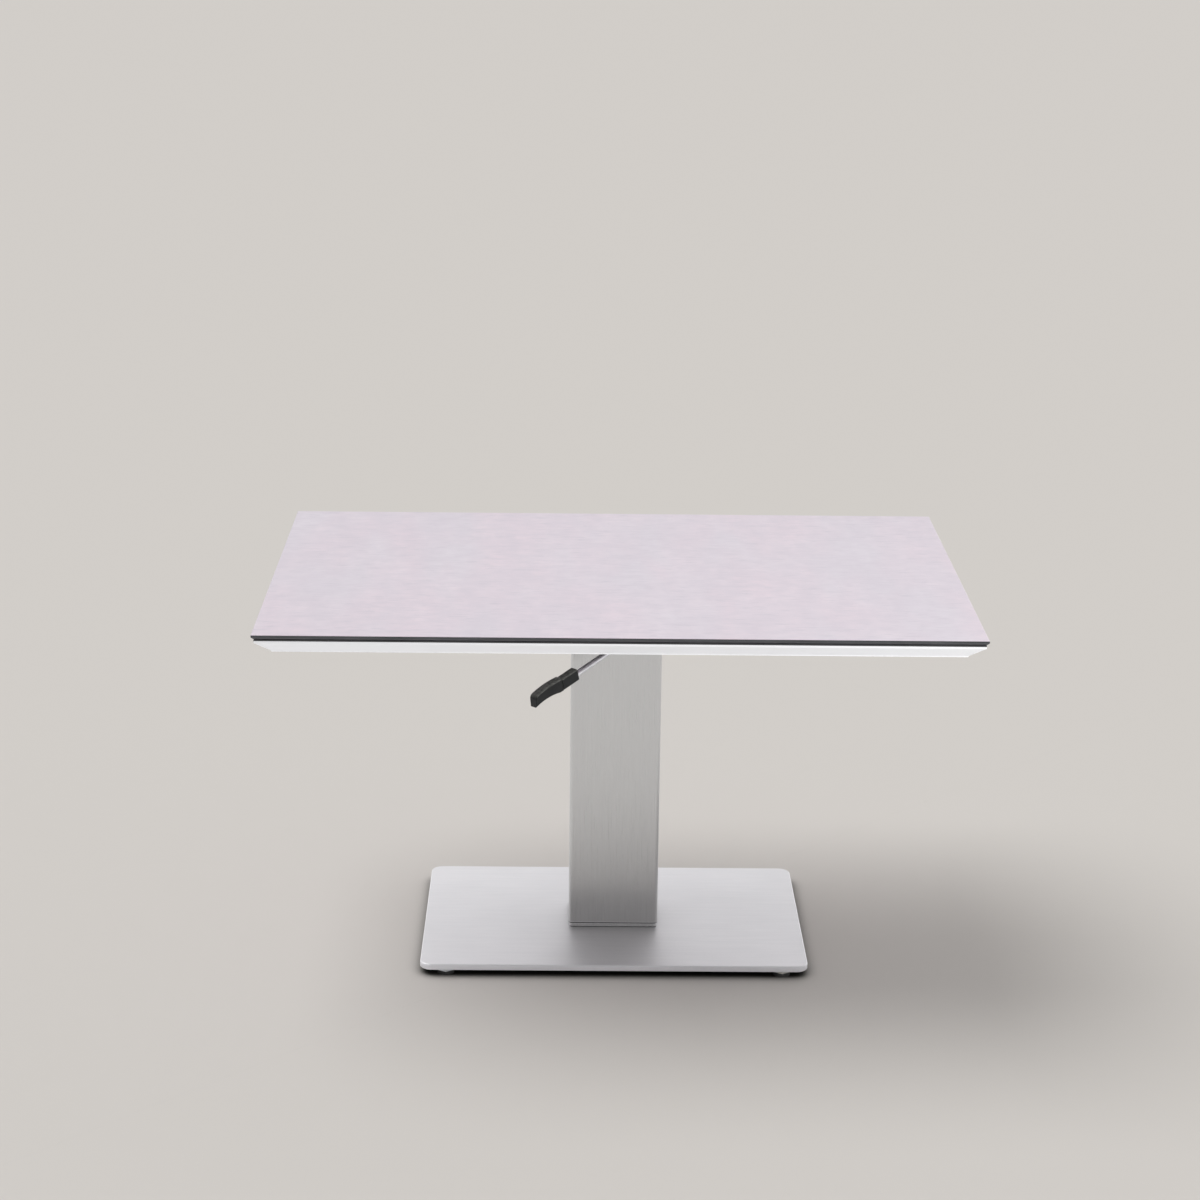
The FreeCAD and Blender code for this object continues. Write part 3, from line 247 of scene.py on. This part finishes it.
def frame_coat():
    """Silver-white powder coat on aluminium, with the fine orange peel of such a coat."""
    material, tree, shader = new_finish("frame_coat_finish", Metallic=0.0)
    peel = even_noise(tree, 900)
    clouds = even_noise(tree, 4)
    speckle = even_noise(tree, 2600, detail=1)
    color = veil(tree, shown(232, 233, 235), shown(234, 234, 235), clouds, low=0.3, high=0.7)
    color = veil(tree, color, shown(222, 223, 225), speckle, low=0.5, high=0.8, most=0.25)
    # Painted highlight: the edges are made paler.
    color = veil(tree, color, shown(244, 244, 244), edges(tree, 0.0008), most=0.5)
    # Painted shade: a dark band along the frame's top, where the laminate's overhang would shade it.
    painted_shade_band = maths(tree, "GREATER_THAN", height(tree), FRAME_HIGH.z - SHADE_BAND_DEPTH)
    color = mix(tree, painted_shade_band, color, shown(56, 56, 58))
    rough = spread(tree, peel, 0.3, 0.7, to_low=0.36, to_high=0.46)
    wire(tree, shader, color, rough, raise_by(tree, peel, depth=0.00004))
    return material


def brushed_column():
    """Stainless steel brushed along the column, with painted highlights on its rounded corners."""
    material, tree, shader = new_finish("brushed_column_finish", Metallic=1.0, Anisotropic=0.55)
    fine = noise(tree, (3200, 3200, 14), detail=3, roughness=0.6)
    coarse = noise(tree, (700, 700, 8), detail=2)
    brush = total(tree, fine, 0.8, coarse, 0.2)
    clouds = noise(tree, (9, 9, 5), detail=2)
    color = veil(tree, shown(187, 186, 185), shown(196, 195, 193), brush, low=0.35, high=0.65)
    color = veil(tree, color, shown(189, 188, 188), clouds, low=0.35, high=0.65, most=0.25)
    # Painted highlight: the rounded corners are made pale.
    color = mix(tree, edges(tree, 0.004), color, shown(246, 246, 247))
    level = height(tree)
    # Painted shade: dark lines along the seams at the sleeve's lower end and the foot plate's top.
    seam_shade_masks = [near(tree, level, seam, SEAM_SHADE_WIDTH) for seam in (SLEEVE_LOW.z, PLATE_HIGH.z)]
    color = mix(tree, maths(tree, "MAXIMUM", *seam_shade_masks), color, shown(70, 70, 70))
    rough = spread(tree, brush, 0.3, 0.7, to_low=0.24, to_high=0.36)
    wire(tree, shader, color, rough, raise_by(tree, brush, depth=0.000008, under=flat_normal(tree)))
    upright = add(tree, "Tangent", {}, direction_type="RADIAL", axis="Z")
    tree.links.new(upright.outputs[0], shader.inputs["Tangent"])
    return material


def plate_coat():
    """The satin silver coat of the foot, over a blackened underside."""
    material, tree, shader = new_finish("plate_coat_finish", Metallic=0.95)
    clouds = even_noise(tree, 6, detail=3)
    satin = noise(tree, (14, 170, 170), detail=3, roughness=0.6)
    flake = even_noise(tree, 3000, detail=1)
    peel = even_noise(tree, 700)
    color = veil(tree, shown(227, 226, 228), shown(232, 231, 233), clouds, low=0.35, high=0.65)
    color = veil(tree, color, shown(216, 216, 219), satin, low=0.3, high=0.7, most=0.28)
    color = veil(tree, color, shown(218, 218, 220), flake, low=0.45, high=0.75, most=0.3)
    # Painted highlight: the edges are made paler.
    color = veil(tree, color, shown(240, 240, 241), edges(tree, 0.001), most=0.5)
    below = mix(tree, clouds, shown(34, 34, 35), shown(46, 46, 47))
    color = mix(tree, underside(tree), color, below)
    rough = spread(tree, peel, 0.3, 0.7, to_low=0.49, to_high=0.57)
    wire(tree, shader, color, rough, raise_by(tree, peel, depth=0.00005, under=flat_normal(tree)))
    return material


def grip_plastic():
    """Black moulding with a fine spark texture, with a mottled painted sheen on its up-facing faces and
    painted highlights along its smoother edges.
    """
    material, tree, shader = new_finish("grip_plastic_finish", Specular_IOR_Level=0.3)
    spark = even_noise(tree, 2600)
    clouds = even_noise(tree, 60)
    # Painted highlight along the edges, which are also made less rough below.
    rim_highlight_and_polish = edges(tree, 0.0012)
    # Painted sheen: up-facing faces are made pale, mottled by noise.
    painted_top_sheen = maths(tree, "MULTIPLY", spread(tree, face_way(tree), 0.2, 0.8), even_noise(tree, 260))
    color = veil(tree, shown(14, 15, 16), shown(23, 24, 24), clouds, low=0.3, high=0.7)
    color = mix(tree, painted_top_sheen, color, shown(134, 136, 130))
    color = veil(tree, color, shown(74, 75, 74), rim_highlight_and_polish, most=0.6)
    rough = spread(tree, rim_highlight_and_polish, 0.0, 1.0, to_low=0.5, to_high=0.34)
    wire(tree, shader, color, rough, raise_by(tree, spark, depth=0.00004))
    return material


def bright_rod():
    """Hard chrome, with the faint haze that polishing leaves."""
    material, tree, shader = new_finish("bright_rod_finish", Metallic=1.0)
    polish = even_noise(tree, 700)
    haze = even_noise(tree, 50)
    color = veil(tree, shown(242, 242, 244), shown(232, 233, 236), haze, low=0.3, high=0.7)
    rough = spread(tree, polish, 0.3, 0.7, to_low=0.42, to_high=0.5)
    wire(tree, shader, color, rough, raise_by(tree, polish, depth=0.000006))
    return material


def zinc_steel():
    """Bright zinc plate: small crystals, with a faint yellow and blue tint."""
    material, tree, shader = new_finish("zinc_steel_finish", Metallic=1.0)
    crystals = cells(tree, 420)
    tint = even_noise(tree, 90)
    color = veil(tree, shown(196, 200, 206), shown(205, 202, 190), tint, low=0.35, high=0.65)
    color = veil(tree, color, shown(172, 174, 178), crystals, low=0.2, high=0.9, most=0.3)
    # Painted highlight: the edges are made paler.
    color = mix(tree, edges(tree, 0.0005), color, shown(222, 222, 222))
    rough = spread(tree, crystals, 0.0, 0.8, to_low=0.28, to_high=0.42)
    wire(tree, shader, color, rough, raise_by(tree, crystals, depth=0.00002))
    return material


def dark_paint():
    """Black powder coat on steel, worn a little along its edges."""
    material, tree, shader = new_finish("dark_paint_finish")
    clouds = even_noise(tree, 12)
    peel = even_noise(tree, 800)
    wear = maths(tree, "MULTIPLY", edges(tree, 0.0007), even_noise(tree, 300, detail=3))
    color = veil(tree, shown(38, 38, 40), shown(46, 46, 48), clouds, low=0.3, high=0.7)
    color = mix(tree, wear, color, shown(122, 122, 124))
    rough = spread(tree, peel, 0.3, 0.7, to_low=0.42, to_high=0.56)
    wire(tree, shader, color, rough, raise_by(tree, peel, depth=0.00006))
    return material


def cast_alloy():
    """Die-cast aluminium with the flow marks and fine pits of casting."""
    material, tree, shader = new_finish("cast_alloy_finish", Metallic=0.9)
    flow = noise(tree, (70, 120, 70), detail=3, roughness=0.6, distortion=0.8)
    pits = even_noise(tree, 1500)
    color = veil(tree, shown(170, 171, 173), shown(188, 189, 190), flow, low=0.35, high=0.65)
    # Painted highlight: the edges are made paler.
    color = mix(tree, edges(tree, 0.0006), color, shown(210, 210, 210))
    rough = spread(tree, flow, 0.3, 0.7, to_low=0.42, to_high=0.6)
    wire(tree, shader, color, rough, raise_by(tree, pits, depth=0.00005))
    return material


def black_plastic():
    """Acetal guides, with upright rubbing marks from their running faces."""
    material, tree, shader = new_finish("black_plastic_finish")
    rubbed = noise(tree, (900, 900, 20), detail=2)
    color = veil(tree, shown(28, 28, 29), shown(44, 44, 45), rubbed, low=0.4, high=0.7)
    rough = spread(tree, rubbed, 0.3, 0.7, to_low=0.36, to_high=0.5)
    wire(tree, shader, color, rough, raise_by(tree, rubbed, depth=0.00003))
    return material


def rubber():
    """Matt black rubber with a dusty bloom."""
    material, tree, shader = new_finish("rubber_finish")
    bloom = even_noise(tree, 160, detail=3)
    pores = even_noise(tree, 2200)
    color = veil(tree, shown(30, 30, 30), shown(52, 51, 50), bloom, low=0.4, high=0.75)
    rough = spread(tree, bloom, 0.3, 0.7, to_low=0.72, to_high=0.86)
    wire(tree, shader, color, rough, raise_by(tree, pores, depth=0.00006))
    return material


def foam_tape():
    """Grey closed-cell foam."""
    material, tree, shader = new_finish("foam_tape_finish")
    foam = cells(tree, 1600)
    color = veil(tree, shown(70, 70, 72), shown(44, 44, 46), foam, low=0.1, high=0.7)
    rough = spread(tree, foam, 0.0, 0.8, to_low=0.8, to_high=0.95)
    wire(tree, shader, color, rough, raise_by(tree, foam, depth=0.0001))
    return material


FINISHES = {
    "laminate": laminate,
    "frame_coat": frame_coat,
    "brushed_column": brushed_column,
    "plate_coat": plate_coat,
    "grip_plastic": grip_plastic,
    "bright_rod": bright_rod,
    "zinc_steel": zinc_steel,
    "dark_paint": dark_paint,
    "cast_alloy": cast_alloy,
    "black_plastic": black_plastic,
    "rubber": rubber,
    "foam_tape": foam_tape,
}

# How far the edges of a slot's pieces are rounded.
EDGE_RADIUS = {
    "laminate": 0.0005,
    "frame_coat": 0.0005,
    "brushed_column": 0.0004,
    "plate_coat": 0.0006,
    "grip_plastic": 0.0006,
    "dark_paint": 0.0003,
    "cast_alloy": 0.0004,
    "zinc_steel": 0.0002,
    "rubber": 0.0004,
    "black_plastic": 0.0003,
}
# Rounding the rim of its slot would crease the flat wall around it.
PLAIN = ["outer_sleeve"]
SAME_POINT = 1e-6
EDGE_ANGLE = math.radians(28)
EDGE_STEPS = 2


def soften(node, radius):
    """Rounds the sharp edges of a piece and smooths its curved faces."""
    weld = node.modifiers.new("weld", "WELD")
    weld.merge_threshold = SAME_POINT
    bevel = node.modifiers.new("edges", "BEVEL")
    bevel.width = radius
    bevel.segments = EDGE_STEPS
    bevel.limit_method = "ANGLE"
    bevel.angle_limit = EDGE_ANGLE
    bevel.harden_normals = True


def dress(nodes):
    """Gives every CAD node its slot's finish and edges."""
    made = {slot: finish() for slot, finish in FINISHES.items()}
    for name, node in nodes.items():
        slot = node.material_slots[0].material.name
        node.material_slots[0].material = made[slot]
        if slot in EDGE_RADIUS and name not in PLAIN:
            soften(node, EDGE_RADIUS[slot])


# ---------------------------------------------------------------- floor, world and lights

FLOOR_SPAN = 160.0
FLOOR_COLOR = shown(245, 244, 243)
FLOOR_SEEN = shown(208, 204, 199)  # the floor's own colour in the picture
CONTACT_SHADE = shown(48, 47, 44)  # painted contact shadow on the floor right under the foot plate
CONTACT_REACH = 0.025
CONTACT_SAMPLES = 16
CONTACT_FULL, CONTACT_NONE = 0.22, 0.92  # how open the floor is where that shade is full, and where it ends
WALL_SEEN = shown(210, 206, 201)
ROOM_FRONT = (0.26, 0.26, 0.26, 1.0)
ROOM_BACK = (1.0, 0.995, 1.0, 1.0)
ROOM_ABOVE = (0.47, 0.47, 0.473, 1.0)
ROOM_LEFT, ROOM_RIGHT = 1.05, 1.65  # how bright the left and right walls are
FRONT_ENDS, BACK_STARTS = -0.7, 0.8  # ways along Y between which the front wall turns into the back
WALLS_END, ABOVE_STARTS = 0.1, 0.9  # ways along Z between which the walls turn into the ceiling
KEY_FROM = (-0.5, 0.2, 1.0)
KEY_SHARE = 0.50
KEY_SPREAD = math.radians(45)
FILL_PLACE = (1.6, -1.6, 0.7)
FILL_AIM = (0.3, -0.2, 0.3)
FILL_SPAN = 1.0
FILL_POWER = 28.0


def make_floor():
    """A plain pale floor, with a painted contact shadow under the foot plate, that is seen from above only,
    so that the underside can be looked at.
    """
    half = FLOOR_SPAN / 2
    mesh = bpy.data.meshes.new("floor")
    corners = [(-half, -half, 0), (half, -half, 0), (half, half, 0), (-half, half, 0)]
    mesh.from_pydata(corners, [], [(0, 1, 2, 3)])
    floor = bpy.data.objects.new("floor", mesh)
    bpy.context.collection.objects.link(floor)
    material, tree, shader = new_finish("floor_finish", Roughness=0.9, Specular_IOR_Level=0.0)
    occlusion = add(tree, "AmbientOcclusion", {"Distance": CONTACT_REACH}, samples=CONTACT_SAMPLES)
    # Painted contact shadow: the floor darkens where the foot plate and glides close it in.
    shaded = veil(tree, CONTACT_SHADE, FLOOR_SEEN, occlusion.outputs["AO"], CONTACT_FULL, CONTACT_NONE)
    seen = add(tree, "LightPath", {}).outputs["Is Camera Ray"]
    wire(tree, shader, mix(tree, seen, FLOOR_COLOR, shaded))
    clear = add(tree, "BsdfTransparent", {})
    side = add(tree, "NewGeometry", {}).outputs["Backfacing"]
    both = add(tree, "MixShader", {0: side, 1: shader.outputs[0], 2: clear.outputs[0]})
    tree.links.new(both.outputs[0], tree.nodes["Material Output"].inputs["Surface"])
    mesh.materials.append(material)
    return floor


def make_world():
    """A pale room: bright behind the table, dimmer in front of it and overhead."""
    world = bpy.data.worlds.new("room")
    bpy.context.scene.world = world
    world.use_nodes = True
    tree = world.node_tree
    way = add(tree, "SeparateXYZ", {"Vector": add(tree, "TexCoord", {}).outputs["Generated"]}).outputs
    walls = veil(tree, ROOM_FRONT, ROOM_BACK, way["Y"], FRONT_ENDS, BACK_STARTS)
    side = spread(tree, way["X"], -1.0, 1.0, ROOM_LEFT, ROOM_RIGHT)
    walls = mix(tree, 1.0, walls, side, "MULTIPLY")
    room = veil(tree, walls, ROOM_ABOVE, way["Z"], WALLS_END, ABOVE_STARTS)
    seen = add(tree, "LightPath", {}).outputs["Is Camera Ray"]
    tree.links.new(mix(tree, seen, room, WALL_SEEN), tree.nodes["Background"].inputs["Color"])


def new_lamp(name, kind, toward):
    """A lamp that shines against the direction toward it."""
    data = bpy.data.lights.new(name, kind)
    lamp = bpy.data.objects.new(name, data)
    lamp.rotation_euler = toward.to_track_quat("Z", "Y").to_euler()
    bpy.context.collection.objects.link(lamp)
    return lamp, data


def key_light():
    """Broad light from the left, whose shadow falls to the right."""
    _, data = new_lamp("key", "SUN", Vector(KEY_FROM))
    data.angle = KEY_SPREAD
    data.energy = KEY_SHARE * math.pi


def fill_light(floor):
    """A low round lamp at the front right that lights the table, but not the floor."""
    lamp, data = new_lamp("fill", "AREA", Vector(FILL_PLACE) - Vector(FILL_AIM))
    data.shape = "DISK"
    data.size = FILL_SPAN
    data.energy = FILL_POWER
    lamp.location = FILL_PLACE
    lamp.visible_camera = False
    lamp.visible_glossy = False
    unlit = bpy.data.collections.new("unlit_by_fill")
    unlit.objects.link(floor)
    unlit.collection_objects[0].light_linking.link_state = "EXCLUDE"
    lamp.light_linking.receiver_collection = unlit


make_camera()
dress(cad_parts)
floor = make_floor()
make_world()
key_light()
fill_light(floor)
bpy.context.scene.view_settings.view_transform = "Standard"
